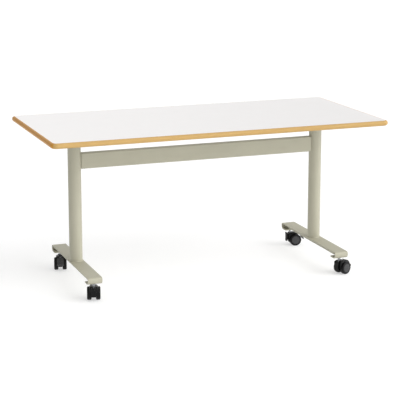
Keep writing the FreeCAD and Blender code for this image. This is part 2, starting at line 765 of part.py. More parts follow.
def make_castor_wheel():
    """One wheel turned about Y, its dished outer face at the far side: tread, rim groove and hub."""
    wheel = new_body("castor_wheel")
    sketch = sketch_on(wheel, "XY_Plane")
    near, far = "wheel_spacing / 2", "wheel_spacing / 2 + wheel_width"
    bore = "axle_radius + running_clearance"
    rim = "wheel_radius - wheel_rim"
    inner_rim = f"{rim} - wheel_groove"
    dish = f"{far} - wheel_dish"
    web = f"{dish} - wheel_web"
    outline(sketch, [
        (bore, near), ("wheel_hub_radius", near), ("wheel_hub_radius", web), (rim, web), (rim, near),
        ("wheel_radius", near), ("wheel_radius", far), (rim, far), (rim, f"{far} - wheel_groove"),
        (inner_rim, f"{far} - wheel_groove"), (inner_rim, f"{far} - wheel_groove / 2"),
        ("wheel_hub_radius", dish), ("0", dish), ("0", f"{dish} - wheel_hub_end"),
        (bore, f"{dish} - wheel_hub_end")])
    revolve(wheel, sketch)
    reach = size("wheel_radius") - size("wheel_edge") / 2
    round_edges(wheel, "wheel_edge", lambda middle, along: math.hypot(middle.x, middle.z) > reach
                and not along_axis(along, Y))
    return wheel


def make_castor_stem():
    """A zinc-plated stem: the socket pin, the shoulder under the foot and the threaded end."""
    stem = new_body("castor_stem")
    sketch = sketch_on(stem, "XZ_Plane")
    socket = f"{SHOULDER_TOP} - stem_socket_depth"
    shoulder = "castor_height - stem_shoulder_height"
    top = "castor_height + foot_plate + nut_height + stem_past_nut"
    outline(sketch, [("0", socket), ("stem_radius", socket), ("stem_radius", shoulder),
                     ("stem_shoulder_radius", shoulder), ("stem_shoulder_radius", "castor_height"),
                     ("stem_radius", "castor_height"), ("stem_radius", top), ("0", top)])
    revolve(stem, sketch)
    return stem


def make_castor_nut():
    """A hexagon nut on the return flange."""
    hexagon = doc.addObject("Part::Prism", "nut_hexagon")
    hexagon.Polygon = 6
    bind(hexagon, Circumradius="nut_across_flats / sqrt(3)", Height="nut_height")
    place(hexagon, ("0", "0", "castor_height + foot_plate"))
    bore = cylinder("nut_bore", "stem_radius + hole_clearance", "nut_height", ("0", "0", "castor_height + foot_plate"))
    return cut("castor_nut", hexagon, bore)


def make_castor_housing():
    """A moulded hood: web between the wheels, fender over their inner halves, shoulders and front shield."""
    centre = ("castor_trail", "0", "wheel_radius")

    def sector(name, radius, half, low_angle, high_angle):
        """A sector about the axle, measured from the trailing side upwards."""
        turn = Rotation(Y, -size(low_angle)) * Rotation(X, 90)
        return cylinder(name, radius, f"2 * ({half})", (centre[0], half, centre[2]), turn=turn,
                        sweep=f"{high_angle} - {low_angle}")

    fender = cut("fender", sector("fender_outside", FENDER_OUTSIDE, "fender_half_width", "fender_top_angle",
                                  "fender_front_angle"),
                 cylinder("fender_inside", FENDER_INSIDE, "2 * fender_half_width + cut_overrun",
                          (centre[0], "-fender_half_width - cut_overrun / 2", centre[2]), "y"))
    web_disc = cylinder("web_disc", FENDER_OUTSIDE, f"2 * {WEB_HALF}", (centre[0], f"-{WEB_HALF}", centre[2]), "y")
    rear = "castor_trail + axle_radius + wheel_hub_radius"
    web_keep = block("web_keep", (f"castor_trail - {FENDER_OUTSIDE}", f"-{WEB_HALF}", "housing_floor_gap"),
                     (rear, WEB_HALF, f"wheel_radius + {FENDER_OUTSIDE}"))
    web = doc.addObject("Part::Common", "web")
    web.Base = web_disc
    web.Tool = web_keep
    core_disc = cylinder("web_core_disc", "wheel_radius - web_inset", f"2 * {WEB_HALF}",
                         (centre[0], f"-{WEB_HALF}", centre[2]), "y")
    core_keep = block("web_core_keep", ("castor_trail - wheel_radius", f"-{WEB_HALF}", "housing_floor_gap"),
                      ("castor_trail + wheel_radius", WEB_HALF, "2 * wheel_radius"))
    web_core = doc.addObject("Part::Common", "web_core")
    web_core.Base = core_disc
    web_core.Tool = core_keep

    shoulders = new_body("shoulders")
    sketch = sketch_on(shoulders, "XY_Plane", "wheel_radius")
    outline(sketch, [("-shoulder_front", "-shoulder_half_width"), ("shoulder_rear", "-shoulder_half_width"),
                     ("shoulder_rear", "shoulder_half_width"), ("-shoulder_front", "shoulder_half_width")])
    pad(shoulders, sketch, f"{SHOULDER_TOP} - wheel_radius")
    front, top = -size("shoulder_front"), size("castor_height") - size("shoulder_drop")
    close = size("shoulder_round") / 2
    round_edges(shoulders, "shoulder_round",
                lambda middle, along: abs(middle.z - top) < close or
                (along_axis(along, Z) and abs(middle.x - front) < close))

    shield = new_body("shield")
    sketch = sketch_on(shield, "XY_Plane", "wheel_radius - shield_below_axle")
    shield_back = "shield_thickness - shield_front"
    outline(sketch, [("-shield_front", "-shield_half_width"), (shield_back, "-shield_half_width"),
                     (shield_back, "shield_half_width"), ("-shield_front", "shield_half_width")])
    pad(shield, sketch, f"{SHOULDER_TOP} - wheel_radius + shield_below_axle")
    shield_face = -size("shield_front")
    round_edges(shield, "shield_round",
                lambda middle, along: not along_axis(along, Y) and
                (abs(middle.z - top) < close or abs(middle.x - shield_face) < close))
    notch_floor = f"({SHOULDER_TOP} - shield_notch_depth)"
    notch = block("shield_notch", ("-shield_front - cut_overrun", "-shield_notch_half_width", notch_floor),
                  (f"{shield_back} + cut_overrun / 2", "shield_notch_half_width", f"{SHOULDER_TOP} + cut_overrun"))
    bridge = block("shield_bridge", (f"{shield_back} - shield_thickness / 2", f"-{WEB_HALF}", "wheel_radius"),
                   ("0", WEB_HALF, notch_floor))

    far = "shoulder_half_width + cut_overrun"
    pits = [cylinder("wheel_pit", FENDER_INSIDE, f"{far} - {WEB_HALF}", (centre[0], y, centre[2]), "y")
            for y in (WEB_HALF, f"-({far})")]
    groove_floor = "2 * wheel_radius - groove_below_wheel_top"
    groove = block("groove", ("-shoulder_front - cut_overrun", "-groove_half_width", groove_floor),
                   (f"castor_trail + {FENDER_OUTSIDE}", "groove_half_width", f"{SHOULDER_TOP} + cut_overrun"))
    socket = cylinder("stem_socket", "stem_radius + running_clearance", "stem_socket_depth + running_clearance",
                      ("0", "0", f"{SHOULDER_TOP} - stem_socket_depth - running_clearance"))
    axle_hole = cylinder("axle_hole", "axle_radius", f"2 * {WEB_HALF}", (centre[0], f"-{WEB_HALF}", centre[2]), "y")
    pivot_reach = "groove_half_width + trunnion_length"
    pivot_hole = cylinder("pedal_pivot_hole", "trunnion_radius + running_clearance", f"2 * ({pivot_reach})",
                          ("pedal_pivot_trail", f"-({pivot_reach})", PEDAL_PIVOT_Z), "y")
    solid = fuse("housing_solid", fender, web, web_core, shoulders, shield, bridge)
    return cut("castor_housing", solid, fuse("housing_cuts", *pits, groove, notch, socket, axle_hole, pivot_hole))


def make_castor_pedal():
    """A brake pedal: a tongue on trunnions between the shoulders, and an arched plate with a toe."""
    centre = ("castor_trail", "0", "wheel_radius")

    def sector(name, radius, low_angle, high_angle):
        turn = Rotation(Y, -size("pedal_low_angle")) * Rotation(X, 90)
        return cylinder(name, radius, "2 * pedal_half_width", (centre[0], "pedal_half_width", centre[2]),
                        turn=turn, sweep=f"{high_angle} - {low_angle}")

    hollow = cylinder("pedal_hollow", PEDAL_INSIDE, "2 * pedal_half_width + cut_overrun",
                      (centre[0], "-pedal_half_width - cut_overrun / 2", centre[2]), "y")
    plate = cut("pedal_plate", sector("pedal_arch", PEDAL_OUTSIDE, "pedal_low_angle", "pedal_high_angle"), hollow)
    toe = block("pedal_toe", (PEDAL_INSIDE, "-pedal_half_width", "0"),
                (f"{PEDAL_OUTSIDE} + pedal_toe", "pedal_half_width", "pedal_thickness"))
    low = "pedal_low_angle * 1 deg"
    toe_turn = Rotation(Y, -size("pedal_low_angle"))
    place(toe, (f"castor_trail + {PEDAL_INSIDE} * cos({low})", "-pedal_half_width",
                f"wheel_radius + {PEDAL_INSIDE} * sin({low})"), toe_turn)
    bind(toe, Length="pedal_thickness + pedal_toe")
    lip_reach = f"({PEDAL_OUTSIDE} + pedal_toe - pedal_thickness)"
    lip = block("pedal_lip", (lip_reach, "-pedal_half_width", "0"),
                (f"{lip_reach} + pedal_thickness", "pedal_half_width", "pedal_lip + pedal_thickness"))
    place(lip, (f"castor_trail + {lip_reach} * cos({low}) + pedal_lip * sin({low})", "-pedal_half_width",
                f"wheel_radius + {lip_reach} * sin({low}) - pedal_lip * cos({low})"), toe_turn)

    tongue = new_body("pedal_tongue")
    sketch = sketch_on(tongue, "XZ_Plane")
    high = "pedal_high_angle * 1 deg"
    # Nearly flush with the arch, so the tongue runs into its full thickness
    inside = [(f"castor_trail + {radius} * cos({high})", f"wheel_radius + {radius} * sin({high})")
              for radius in (PEDAL_INSIDE, PEDAL_OUTSIDE)]
    outline(sketch, [("pedal_pivot_trail", f"{PEDAL_PIVOT_Z} - pedal_thickness / 2"), inside[0], inside[1],
                     ("pedal_pivot_trail", f"{PEDAL_PIVOT_Z} + pedal_thickness / 2")])
    pad(tongue, sketch, "2 * pedal_tongue_half_width", both_ways=True)
    boss = cylinder("pedal_boss", "pedal_boss_radius", "2 * pedal_tongue_half_width",
                    ("pedal_pivot_trail", "-pedal_tongue_half_width", PEDAL_PIVOT_Z), "y")
    reach = "groove_half_width + trunnion_length - free_clearance"
    trunnion = cylinder("pedal_trunnion", "trunnion_radius", f"2 * ({reach})",
                        ("pedal_pivot_trail", f"-({reach})", PEDAL_PIVOT_Z), "y")
    return fuse("castor_pedal", plate, toe, lip, tongue, boss, trunnion)


def make_castors():
    """Four castors, copied from one set of pieces and turned the way their wheels trail."""
    axle = cylinder("castor_axle", "axle_radius", "axle_length",
                    ("castor_trail", "-axle_length / 2", "wheel_radius"), "y")
    masters = {
        "stem": make_castor_stem(),
        "housing": make_castor_housing(),
        "axle": axle,
        "pedal": make_castor_pedal(),
    }
    wheel = make_castor_wheel()
    nut = make_castor_nut()
    doc.recompute()
    nuts = []
    axle_at = Vector(size("castor_trail"), 0, size("wheel_radius"))
    column_x = size("table_length") / 2 - size("leg_overhang")
    stem_y = size("foot_length") / 2 - size("castor_inset")
    for corner, (end, side) in CASTOR_ENDS.items():
        at = Vector(end * column_x, side * stem_y, 0)
        turned = Placement(at, Rotation(Z, size(f"trail_angle_{corner}")))
        for name, master in masters.items():
            label = f"castor_{name}_{corner}"
            keep(label, copied(label, master, turned * master.Placement))
        for hand, angle in (("a", 0), ("b", 180)):
            label = f"castor_wheel_{hand}_{corner}"
            keep(label, copied(label, wheel, turned * Placement(axle_at, Rotation(Z, angle))))
        nuts.append(copied(f"castor_nut_{corner}", nut, Placement(at, Rotation()) * nut.Placement))
    group("castor_nuts", *nuts)


def write_parts():
    """Check every object, then write one file for each piece."""
    doc.recompute()
    for thing in doc.Objects:
        if "Invalid" in thing.State or "Error" in thing.State:
            raise RuntimeError(f"{thing.Label} failed: {thing.State}")
    os.makedirs("parts", exist_ok=True)
    for piece in PIECES:
        shape = piece.Shape
        if shape.isNull() or not shape.isValid() or not shape.Solids:
            raise RuntimeError(f"{piece.Label} has no valid solid")
    for piece in PIECES:
        piece.Shape.exportStep(os.path.join("parts", f"{piece.Label}.step"))
    print(len(PIECES), "pieces,", sum(len(piece.Shape.Solids) for piece in PIECES), "solids")


make_top_sheets()
make_edge_lips()
make_columns()
make_feet()
make_cross_bar()
make_tilt_heads()
make_brackets()
make_hinge_hardware()
make_clamp_levers()
make_castors()
write_parts()
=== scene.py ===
# %% [markdown]
# # A mobile folding table
# The imported model is the frame of this scene: every tube, strip, screw and castor is already in its
# place, in metres, with the floor at zero. Blender adds what solids cannot say: finishes, small
# moulded and pressed details, a floor, light and a camera.

# %% Load the frame
import json
import math

import bpy
from mathutils import Matrix, Vector


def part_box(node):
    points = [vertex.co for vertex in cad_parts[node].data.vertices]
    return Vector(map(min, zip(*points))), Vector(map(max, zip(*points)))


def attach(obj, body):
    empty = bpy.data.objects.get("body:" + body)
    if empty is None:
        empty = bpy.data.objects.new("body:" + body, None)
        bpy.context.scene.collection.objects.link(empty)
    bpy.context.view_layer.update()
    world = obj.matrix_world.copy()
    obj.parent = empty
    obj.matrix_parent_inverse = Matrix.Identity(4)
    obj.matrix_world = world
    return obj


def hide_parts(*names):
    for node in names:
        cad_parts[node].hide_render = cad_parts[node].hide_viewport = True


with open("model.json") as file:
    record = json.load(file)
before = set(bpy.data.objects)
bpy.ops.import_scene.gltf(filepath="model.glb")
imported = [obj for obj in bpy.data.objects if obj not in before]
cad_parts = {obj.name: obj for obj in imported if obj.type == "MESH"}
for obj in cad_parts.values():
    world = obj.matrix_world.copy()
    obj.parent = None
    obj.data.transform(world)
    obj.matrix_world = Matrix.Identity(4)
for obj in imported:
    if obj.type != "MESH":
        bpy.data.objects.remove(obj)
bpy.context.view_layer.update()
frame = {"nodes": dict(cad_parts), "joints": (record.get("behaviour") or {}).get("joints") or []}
nodes = frame["nodes"]
MM = 0.001

# %% [markdown]
# ## Colours and nodes
# A colour read from a picture is an sRGB value, while a shader works with linear light, so one
# function turns hex values into linear ones. A second function adds a node with its settings and
# links, and all the finishes below are written with it. Patterns read object coordinates, which are
# metres here, so a third function turns a size in millimetres into the scale of a texture.

# %% Helpers for finishes


def paint(code):
    """An sRGB hex colour as linear light."""
    parts = [int(code[i:i + 2], 16) / 255 for i in (0, 2, 4)]
    return tuple(c / 12.92 if c <= 0.04045 else ((c + 0.055) / 1.055) ** 2.4 for c in parts) + (1.0,)


def add(tree, kind, links=(), **settings):
    """Add a node, set its properties and inputs by name, and link outputs of others into it."""
    node = tree.nodes.new("ShaderNode" + kind)
    for name, value in settings.items():
        if hasattr(node, name) and name not in node.inputs:
            setattr(node, name, value)
        else:
            node.inputs[name.replace("_", " ")].default_value = value
    for socket, source in links:
        tree.links.new(source, node.inputs[socket])
    return node


def finish_of(name):
    """A new material with its principled shader and object coordinates."""
    material = bpy.data.materials.new(name)
    material.use_nodes = True
    tree = material.node_tree
    tree.nodes.clear()
    shader = add(tree, "BsdfPrincipled")
    add(tree, "OutputMaterial", [("Surface", shader.outputs["BSDF"])])
    place = add(tree, "TexCoord").outputs["Object"]
    return material, tree, shader, place


def per_mm(size_mm):
    """Texture scale for a feature of this size, in cells per metre."""
    return 1.0 / (size_mm * MM)


print("white in linear light:", paint("FFFFFF"))

# %% [markdown]
# ## The laminate
# The writing surface is a decor paper under melamine resin, pressed against a plate with a fine
# pebbled grain. It is nearly white and satin: the eye sees soft, blurred reflections and hardly any
# texture. A scan of a laminate would do, but over so long a top it would repeat, and noise doesn't.
# A fine noise breaks up the gloss, and a broad one gives the paper its faint mottling.

# %% Melamine laminate


def melamine(name, light, dark):
    """A satin decor laminate with a pebble of about a millimetre and a faint mottle."""
    material, tree, shader, place = finish_of(name)
    pebble = add(tree, "TexNoise", [("Vector", place)], Scale=per_mm(1.1), Detail=2.0)
    mottle = add(tree, "TexNoise", [("Vector", place)], Scale=per_mm(55), Detail=4.0)
    colour = add(tree, "Mix", [("Factor", mottle.outputs["Fac"])],
                 data_type="RGBA", A=paint(dark), B=paint(light))
    bump = add(tree, "Bump", [("Height", pebble.outputs["Fac"])], Strength=0.05, Distance=0.05 * MM)
    gloss = add(tree, "MapRange", [("Value", pebble.outputs["Fac"])], To_Min=0.34, To_Max=0.46)
    tree.links.new(colour.outputs["Result"], shader.inputs["Base Color"])
    tree.links.new(gloss.outputs["Result"], shader.inputs["Roughness"])
    tree.links.new(bump.outputs["Normal"], shader.inputs["Normal"])
    shader.inputs["IOR"].default_value = 1.5
    return material


pale_laminate = melamine("melamine_laminate_pale_grey", "F2F0EF", "EFEDEC")
backing_laminate = melamine("melamine_backing_grey", "DAD8D3", "D2D0CA")
print("laminates:", pale_laminate.name, backing_laminate.name)

# %% [markdown]
# ## The wood edge
# The edge is a strip of beech, moulded to a half round under a dull lacquer. Beech is a warm
# yellow-brown with fine fibres along the strip and short darker flecks. Rings cut by the half round
# would be truer to a log, but on so narrow a strip only the fibres show, and they are a noise
# stretched along it. The long and the short strips run different ways, so the grain's direction is a
# choice of the function that makes the finish. The short strips look a little redder in the picture.

# %% Lacquered beech


def beech(name, light, dark, fleck, stretch):
    """Lacquered beech whose fibres run along the axis that is stretched."""
    material, tree, shader, place = finish_of(name)
    along = add(tree, "Mapping", [("Vector", place)], Scale=stretch).outputs["Vector"]
    fibre = add(tree, "TexNoise", [("Vector", along)], Scale=per_mm(1.6), Detail=5.0, Roughness=0.6)
    band = add(tree, "TexNoise", [("Vector", along)], Scale=per_mm(9), Detail=2.0)
    flecks = add(tree, "TexVoronoi", [("Vector", along)], Scale=per_mm(2.4))
    ground = add(tree, "Mix", [("Factor", band.outputs["Fac"])],
                 data_type="RGBA", A=paint(dark), B=paint(light))
    lines = add(tree, "MapRange", [("Value", fibre.outputs["Fac"])],
                From_Min=0.35, From_Max=0.65, To_Min=0.88, To_Max=1.05)
    shaded = add(tree, "Mix", [("A", ground.outputs["Result"]), ("B", lines.outputs["Result"])],
                 data_type="RGBA", blend_type="MULTIPLY", Factor=1.0)
    dots = add(tree, "MapRange", [("Value", flecks.outputs["Distance"])], From_Min=0.06, From_Max=0.16)
    flecked = add(tree, "Mix", [("Factor", dots.outputs["Result"]), ("B", shaded.outputs["Result"])],
                  data_type="RGBA", A=paint(fleck))
    bump = add(tree, "Bump", [("Height", fibre.outputs["Fac"])], Strength=0.12, Distance=0.08 * MM)
    tree.links.new(flecked.outputs["Result"], shader.inputs["Base Color"])
    tree.links.new(bump.outputs["Normal"], shader.inputs["Normal"])
    shader.inputs["Roughness"].default_value = 0.42
    shader.inputs["Specular IOR Level"].default_value = 0.15
    return material


GRAIN_LONG = 0.03
beech_long = beech("beech_lacquered_long", "CAA86D", "BF995E", "A68045", (GRAIN_LONG, 1, 1))
beech_short = beech("beech_lacquered_short", "D39A48", "C38A3A", "A26C2A", (1, GRAIN_LONG, 1))
print("wood edges:", beech_long.name, beech_short.name)

# %% [markdown]
# ## Powder coat
# The steel is powder coated in a warm beige-grey. Powder melts into a skin with a slight orange peel,
# a ripple of about a millimetre that softens highlights. The same ripple drives a little roughness
# variation. The meshes of the frame have sharp edges and stay as they are, so the rounding of cut
# sheet and tube comes from a Bevel node: it bends the normal, and edges catch light as real ones do.

# %% Powder coat


def powder_coat(name, light, dark):
    """A satin powder coat with orange peel."""
    material, tree, shader, place = finish_of(name)
    peel = add(tree, "TexNoise", [("Vector", place)], Scale=per_mm(1.4), Detail=1.5)
    cloud = add(tree, "TexNoise", [("Vector", place)], Scale=per_mm(80), Detail=3.0)
    colour = add(tree, "Mix", [("Factor", cloud.outputs["Fac"])],
                 data_type="RGBA", A=paint(dark), B=paint(light))
    edge = add(tree, "Bevel", Radius=1.0 * MM, samples=4)
    bump = add(tree, "Bump", [("Height", peel.outputs["Fac"]), ("Normal", edge.outputs["Normal"])],
               Strength=0.14, Distance=0.1 * MM)
    gloss = add(tree, "MapRange", [("Value", peel.outputs["Fac"])], To_Min=0.4, To_Max=0.54)
    tree.links.new(colour.outputs["Result"], shader.inputs["Base Color"])
    tree.links.new(gloss.outputs["Result"], shader.inputs["Roughness"])
    tree.links.new(bump.outputs["Normal"], shader.inputs["Normal"])
    return material


beige_coat = powder_coat("powder_coat_beige_grey", "B3B09D", "AAA794")
print("coat:", beige_coat.name)

# %% [markdown]
# ## Zinc plate
# Screws, pins and axles are steel, tumbled in a barrel while a thin skin of zinc is plated on. The
# skin is a metal with faint clouds, and the tumbling leaves a fine grit that blurs what it mirrors.
# The grit is drawn at half a millimetre, coarser than in life, or it would not show even close up.
# The castor stems get a darker copy of the plate. This is painted shade: it stands for the shade and dark
# reflections the stems have under the foot.

# %% Zinc plate


def zinc_plate(name, light, dark):
    """Zinc plating: a metal with faint clouds and a fine barrelled texture."""
    material, tree, shader, place = finish_of(name)
    cloud = add(tree, "TexNoise", [("Vector", place)], Scale=per_mm(6), Detail=4.0)
    grit = add(tree, "TexNoise", [("Vector", place)], Scale=per_mm(0.5), Detail=2.0)
    colour = add(tree, "Mix", [("Factor", cloud.outputs["Fac"])],
                 data_type="RGBA", A=paint(dark), B=paint(light))
    edge = add(tree, "Bevel", Radius=0.4 * MM, samples=4)
    bump = add(tree, "Bump", [("Height", grit.outputs["Fac"]), ("Normal", edge.outputs["Normal"])],
               Strength=0.1, Distance=0.05 * MM)
    tree.links.new(colour.outputs["Result"], shader.inputs["Base Color"])
    tree.links.new(bump.outputs["Normal"], shader.inputs["Normal"])
    shader.inputs["Metallic"].default_value = 1.0
    shader.inputs["Roughness"].default_value = 0.32
    return material


zinc = zinc_plate("zinc_plated_steel", "DADCDD", "B9BDC2")
# The stems' plate is darkened as painted shade.
painted_shade_zinc = zinc_plate("painted_shade_zinc_plated_steel", "9A9C9F", "888A8D")
print("plated steels:", zinc.name, painted_shade_zinc.name)

# %% [markdown]
# ## Particle board
# The core of the top is raw particle board: pressed chips of light and dark wood, rough and without
# gloss. Laminate and wood hide nearly all of it. Cells of a Voronoi pattern, each of one random
# tone, look more like chips than any noise does.

# %% Particle board


def chip_board(name):
    """Raw particle board: flattened chips of light and dark wood."""
    material, tree, shader, place = finish_of(name)
    chips = add(tree, "TexVoronoi", [("Vector", place)], Scale=per_mm(2.5))
    dust = add(tree, "TexNoise", [("Vector", place)], Scale=per_mm(0.8), Detail=3.0)
    tone = add(tree, "SeparateColor", [("Color", chips.outputs["Color"])])
    colour = add(tree, "Mix", [("Factor", tone.outputs["Red"])],
                 data_type="RGBA", A=paint("A9854F"), B=paint("D2B27C"))
    bump = add(tree, "Bump", [("Height", dust.outputs["Fac"])], Strength=0.3, Distance=0.2 * MM)
    tree.links.new(colour.outputs["Result"], shader.inputs["Base Color"])
    tree.links.new(bump.outputs["Normal"], shader.inputs["Normal"])
    shader.inputs["Roughness"].default_value = 0.85
    return material


board = chip_board("raw_particle_board")
print("board:", board.name)

# %% [markdown]
# ## Black mouldings
# The castors are moulded in glass-filled nylon with a fine spark-eroded grain, the wheels carry a
# slightly softer and duller tread, and the clamp levers are the same nylon. These are all black, so
# what tells them apart is how broad their highlights are. The snap-in wheel covers and the brake
# pedals are moulded in charcoal. Their paler tone is partly a painted highlight: it stands in for the
# light that catches the disc and the pad. A real grain of this kind is finer; it is drawn at half a
# millimetre or more so that it shows close up.

# %% Moulded plastics


def moulding(name, light, dark, rough_low, rough_high, grain_mm):
    """A moulded plastic with an eroded grain."""
    material, tree, shader, place = finish_of(name)
    grain = add(tree, "TexNoise", [("Vector", place)], Scale=per_mm(grain_mm), Detail=2.0)
    cloud = add(tree, "TexNoise", [("Vector", place)], Scale=per_mm(14), Detail=3.0)
    colour = add(tree, "Mix", [("Factor", cloud.outputs["Fac"])],
                 data_type="RGBA", A=paint(dark), B=paint(light))
    edge = add(tree, "Bevel", Radius=0.7 * MM, samples=4)
    bump = add(tree, "Bump", [("Height", grain.outputs["Fac"]), ("Normal", edge.outputs["Normal"])],
               Strength=0.12, Distance=0.06 * MM)
    gloss = add(tree, "MapRange", [("Value", grain.outputs["Fac"])], To_Min=rough_low, To_Max=rough_high)
    tree.links.new(colour.outputs["Result"], shader.inputs["Base Color"])
    tree.links.new(gloss.outputs["Result"], shader.inputs["Roughness"])
    tree.links.new(bump.outputs["Normal"], shader.inputs["Normal"])
    shader.inputs["Specular IOR Level"].default_value = 0.2
    return material


black_nylon = moulding("glass_filled_nylon_black", "0A0A0B", "060607", 0.2, 0.3, 0.6)
black_tread = moulding("polyurethane_tread_black", "0A0A0B", "070708", 0.34, 0.5, 0.9)
# The charcoal is paler partly as a painted highlight on the wheel discs and the pedals.
charcoal_nylon_painted_highlight = moulding("glass_filled_nylon_charcoal_painted_highlight", "464647", "3E3E3F", 0.24, 0.32, 0.5)
bush_acetal = moulding("acetal_bush_white", "E4E2DA", "DAD8D0", 0.3, 0.4, 0.6)
print("mouldings:", black_nylon.name, black_tread.name, charcoal_nylon_painted_highlight.name, bush_acetal.name)

# %% [markdown]
# ## Finishes on the frame
# A node of the frame keeps its mesh and only gets a finish. The names of the nodes say what each one
# is, so a short table from the start of a name to a finish covers them all. What the table doesn't
# name is powder-coated steel.

# %% Give every node its finish
FINISHES = {
    "top_laminate": pale_laminate,
    "backing_sheet": backing_laminate,
    "top_core": board,
    "edge_lip_front": beech_long,
    "edge_lip_rear": beech_long,
    "edge_lip_left": beech_short,
    "edge_lip_right": beech_short,
    "castor_wheel": black_tread,
    "castor_housing": black_nylon,
    # The pedal's paler charcoal is partly a painted highlight.
    "castor_pedal": charcoal_nylon_painted_highlight,
    "clamp_lever": black_nylon,
    "pivot_bushes": bush_acetal,
    # The stem's darker zinc is painted shade.
    "castor_stem": painted_shade_zinc,
    "castor_nuts": zinc,
    "castor_axle": zinc,
    "pivot_pin": zinc,
    "pivot_clips": zinc,
    "clamp_stud": zinc,
    "bar_screws": zinc,
    "bracket_screws": zinc,
}
for name, node in nodes.items():
    finish = next((f for start, f in FINISHES.items() if name.startswith(start)), beige_coat)
    for slot in node.material_slots:
        slot.material = finish
print(len(nodes), "nodes finished")

# %% [markdown]
# ## Making new pieces
# The small details below start as primitives and are shaped in edit mode. An operator acts on whatever
# is selected, so everything is let go first. A piece that repeats is modelled once at the origin; each
# copy gets its own mesh and its place goes into that mesh, so every object stays at the origin as
# the nodes of the frame do. A finished piece is smoothed and rides on the body that it moves with.

# %% Helpers for modelling
SMOOTH_BELOW = math.radians(35)


def let_go():
    """Leave edit mode and deselect everything."""
    if bpy.context.object and bpy.context.object.mode != "OBJECT":
        bpy.ops.object.mode_set(mode="OBJECT")
    bpy.ops.object.select_all(action="DESELECT")


def take(piece):
    """Make one piece the selected and active object."""
    let_go()
    piece.select_set(True)
    bpy.context.view_layer.objects.active = piece


def copy_to(piece, name, matrix):
    """A copy with its own mesh, moved by a matrix that goes into the mesh."""
    twin = piece.copy()
    twin.data = piece.data.copy()
    twin.data.transform(matrix)
    twin.name = name
    bpy.context.scene.collection.objects.link(twin)
    return twin


def hand_over(piece, body, finish, replaced=()):
    """Smooth a finished piece, give it its finish and let it ride on a body."""
    take(piece)
    bpy.ops.object.transform_apply(location=True, rotation=True, scale=True)
    bpy.ops.object.shade_smooth_by_angle(angle=SMOOTH_BELOW)
    piece.data.materials.clear()
    piece.data.materials.append(finish)
    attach(piece, body)
    if replaced:
        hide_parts(*replaced)


print("edges under", round(math.degrees(SMOOTH_BELOW)), "degrees are smoothed")

# %% [markdown]
# ## Welds at the columns
# Each column is welded to its foot all round. A weld is a rope of overlapping ripples in the corner
# between tube and plate. A bump in the coat could fake it, but it would leave the corner sharp. Here
# a ring gives its body; every second slice is swollen a little for the ripples, and the half that
# would lie in the plate is cut off flat.

# %% Weld beads
COLUMN_RADIUS = 30 * MM
BEAD = 3.2 * MM
RIPPLE = 0.35 * MM
SLICES = 72
FOOT_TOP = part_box("foot_left")[1].z


def pick_points(piece, test):
    """Enter edit mode with the vertices selected that pass a test."""
    take(piece)
    bpy.ops.object.mode_set(mode="EDIT")
    bpy.ops.mesh.select_mode(type="VERT")
    bpy.ops.mesh.select_all(action="DESELECT")
    bpy.ops.object.mode_set(mode="OBJECT")
    for point in piece.data.vertices:
        point.select = test(point.co)
    bpy.ops.object.mode_set(mode="EDIT")


def in_swollen_slice(point):
    """Whether a point of the ring lies in every second slice."""
    turn = math.atan2(point.y, point.x) / (2 * math.pi) * SLICES
    return round(turn) % 2 == 0


let_go()
bpy.ops.mesh.primitive_torus_add(major_segments=SLICES, minor_segments=14, major_radius=COLUMN_RADIUS,
                                 minor_radius=BEAD, location=(0, 0, 0))
bead = bpy.context.object
pick_points(bead, in_swollen_slice)
bpy.ops.transform.shrink_fatten(value=RIPPLE)
bpy.ops.mesh.select_all(action="SELECT")
bpy.ops.mesh.bisect(plane_co=(0, 0, 0), plane_no=(0, 0, 1), clear_inner=True, use_fill=True)
let_go()
for side in ("left", "right"):
    low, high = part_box(f"column_{side}")
    middle = (low + high) / 2
    place = Matrix.Translation((middle.x, middle.y, FOOT_TOP))
    weld = copy_to(bead, f"column_weld_{side}", place)
    hand_over(weld, "frame", beige_coat)
bpy.data.objects.remove(bead)
print("weld beads at height", round(FOOT_TOP, 4))

# %% [markdown]
# ## Picking faces and finding places
# The next pieces are shaped by their faces. Faces are picked in code by where they are and which way
# they look, as one would click them by hand; one whose normal is nearly along Z counts as flat. The
# castors stand at four corners, each turned its own way, and the axes of their joints say how: a
# matrix built from two directions sets a piece on them.

# %% Helpers for the castors
JOINTS = {joint["name"]: joint for joint in frame["joints"]}
CORNERS = ("front_left", "rear_left", "front_right", "rear_right")
UP = Vector((0, 0, 1))
FLAT = 0.9


def pick_faces(piece, test):
    """Enter edit mode with the faces selected whose centre and normal pass a test."""
    take(piece)
    bpy.ops.object.mode_set(mode="EDIT")
    bpy.ops.mesh.select_mode(type="FACE")
    bpy.ops.mesh.select_all(action="DESELECT")
    bpy.ops.object.mode_set(mode="OBJECT")
    for face in piece.data.polygons:
        face.select = test(face.center, face.normal)
    bpy.ops.object.mode_set(mode="EDIT")


def bevel_edges(piece, width, segments, angle):
    """Round the edges of a piece that are sharper than an angle, with an applied bevel."""
    take(piece)
    rounding = piece.modifiers.new("rounding", "BEVEL")
    rounding.width = width
    rounding.segments = segments
    rounding.limit_method = "ANGLE"
    rounding.angle_limit = math.radians(angle)
    bpy.ops.object.modifier_apply(modifier=rounding.name)


def upright(origin, along_x, along_y):
    """A matrix whose Z axis is the cross product of two directions."""
    along_z = along_x.cross(along_y)
    return Matrix((
        (along_x.x, along_y.x, along_z.x, origin.x),
        (along_x.y, along_y.y, along_z.y, origin.y),
        (along_x.z, along_y.z, along_z.z, origin.z),
        (0, 0, 0, 1),
    ))


print(len(JOINTS), "joints known by name")
